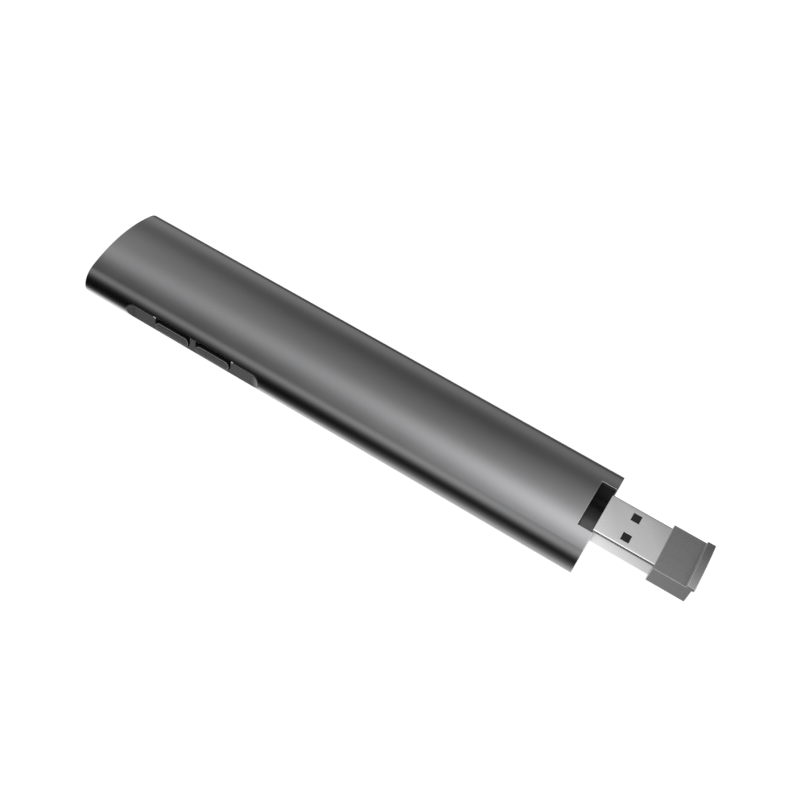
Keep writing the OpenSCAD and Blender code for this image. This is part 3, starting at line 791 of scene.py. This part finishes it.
def paint_bay_light_and_shade():
    """Paints light and shade in the bay: its floor gets the lighter finish that darkens towards the
    far side, and the ledges above it the dark finish of painted shade.
    """
    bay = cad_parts["receiver_bay"]
    bay.data.materials.append(bay_floor_painted_light_and_shade.material)
    bay.data.materials.append(pocket_painted_shade.material)
    for face in bay.data.polygons:
        if face.normal.z > 0.9:
            face.material_index = 1 if face.center.z < BAY_FLOOR_BELOW * MM else 2


# ---- Floor, lights and camera ----

FLOOR_HALF, FLOOR_T, GROUND = 1500, 10, -0.02

# Strip lights that run along the body. Turn is in degrees from overhead, positive on the key side;
# each has its turn and strength towards the front and towards the tail, its width, and a power that
# says how late it changes while a direction's x runs from FRONTMOST to 0.
STRIPS = [
    (-111, 0.31, -130, 0.0, 13.5, 1.3),
    (-78.5, 0.69, -75.4, 0.51, 10.9, 1.9),
    (-35.6, 0.69, -29, 0.33, 27, 0.5),
    (-13.5, 0.72, -6, 1.8, 9.8, 2.5),
    (39, 0.0, -7.7, 0.85, 38, 1.8),
    (36, 0.63, 41, 0.73, 22.5, 4.7),
]
FRONTMOST = -0.46

# Light from low on both sides, which grows from a turn, over a span, by a power. Each of these has
# its value towards the front and towards the tail, and goes from one to the other while x of a
# direction is in LOW_CHANGE. Towards the tail the light is then dimmed, while x is in LOW_DIMMED.
LOW_CHANGE = (-0.394, -0.133)
LOW_TURN, LOW_SPAN, LOW_LEVEL, LOW_POWER = (80, 62.4), (80, 84), (1.34, 1.26), (6.3, 3.0)
LOW_DIM, LOW_DIMMED = 0.27, (-0.02, 0.1)

# The even light from the front end, and where along -x it takes over.
END_LEVEL, END_CHANGE = 0.9, (0.55, 0.85)
BRIGHTEST = 3.0

PANEL_AT, PANEL_L, PANEL_W, PANEL_POWER = Vector((0, -220, 470)), 600, 500, 2.4

CAMERA_AT = Vector((57.342, -157.812, 217.594))
CAMERA_RIGHT, CAMERA_UP = Vector((0.8499, 0.5041, 0.1534)), Vector((-0.4843, 0.6326, 0.6044))
SENSOR, LENS = 36, 50.375


def make_floor():
    """A white sweep that glows a little below white, and that nothing glossy mirrors."""
    edge = rectangle((-FLOOR_HALF, GROUND - FLOOR_T), (FLOOR_HALF, GROUND))
    floor = loft("floor", [along(edge, x) for x in (-FLOOR_HALF, FLOOR_HALF)])
    paper = Finish("white sweep", None, Roughness=0.8, Specular_IOR_Level=0.0,
                   Emission_Color=(1, 1, 1, 1), Emission_Strength=0.96)
    paper.paint(paper.noise(60, 60, 60, 2), (0.1, 0.1, 0.1), (0.11, 0.11, 0.11))
    floor.data.materials.append(paper.material)
    floor.visible_glossy = False


def make_studio():
    """A room of strip lights that only reflections see, and a panel that lights the plastics."""
    world = bpy.data.worlds.new("studio")
    bpy.context.scene.world = world
    world.use_nodes = True
    room = Nodes(world.node_tree)
    way = room.node("ShaderNodeTexCoord", output="Generated")
    x = room.node("ShaderNodeSeparateXYZ", None, {"Vector": way})
    y, z = x.out("Y"), x.out("Z")
    turn = room.node("ShaderNodeMath", {"operation": "ARCTAN2"}, {0: -y, 1: z}) * math.degrees(1)
    spread = turn.math("ABSOLUTE", turn)

    share = room.between(x, *LOW_CHANGE)
    low = room.clamp((spread - blend(share, *LOW_TURN)) / blend(share, *LOW_SPAN))
    light = blend(share, *LOW_LEVEL) * low ** blend(share, *LOW_POWER)
    light = light * (1 - LOW_DIM * room.between(x, *LOW_DIMMED))

    tailward = room.clamp((x - FRONTMOST) / -FRONTMOST)
    for front_turn, front_level, tail_turn, tail_level, width, late in STRIPS:
        share = tailward ** late
        off = (turn - blend(share, front_turn, tail_turn)) / width
        fall = off.math("EXPONENT", -(off * off))
        light = light + blend(share, front_level, tail_level) * fall
    end = room.between(-x, *END_CHANGE)
    light = light * (1 - end) + end * END_LEVEL

    seen = room.node("ShaderNodeLightPath", output="Is Camera Ray")
    tone = light * (1 - seen) + seen
    colour = room.mix(tone / BRIGHTEST, (0, 0, 0), (1, 1, 1))
    glow = room.node("ShaderNodeBackground", None, {"Color": colour, "Strength": BRIGHTEST})
    sky = world.node_tree.nodes["World Output"]
    world.node_tree.links.new(glow.socket, sky.inputs["Surface"])

    panel = bpy.data.lights.new("overhead panel", "AREA")
    panel.shape, panel.energy = "RECTANGLE", PANEL_POWER
    panel.size, panel.size_y = PANEL_L * MM, PANEL_W * MM
    lamp = bpy.data.objects.new("overhead panel", panel)
    bpy.context.scene.collection.objects.link(lamp)
    lamp.location = PANEL_AT * MM
    lamp.rotation_euler = (-lamp.location).to_track_quat("-Z", "Y").to_euler()
    lamp.visible_glossy = False


def make_camera():
    """The camera, held by its place and by what is right and up for it."""
    lens = bpy.data.cameras.new("camera")
    lens.sensor_width, lens.lens = SENSOR, LENS
    camera = bpy.data.objects.new("camera", lens)
    bpy.context.scene.collection.objects.link(camera)
    back = CAMERA_RIGHT.cross(CAMERA_UP).normalized()
    up = back.cross(CAMERA_RIGHT).normalized()
    turned = Matrix((CAMERA_RIGHT.normalized(), up, back)).transposed().to_4x4()
    camera.matrix_world = Matrix.Translation(CAMERA_AT * MM) @ turned
    bpy.context.scene.camera = camera


make_sleeve()
make_scoop_frame()
make_key("forward_key", "forward_page_key")
make_key("back_key", "back_page_key")
make_plug_sheet()
make_housing()
dress_kept_nodes()
paint_bay_light_and_shade()
make_floor()
make_studio()
make_camera()
bpy.context.scene.view_settings.view_transform = "Standard"
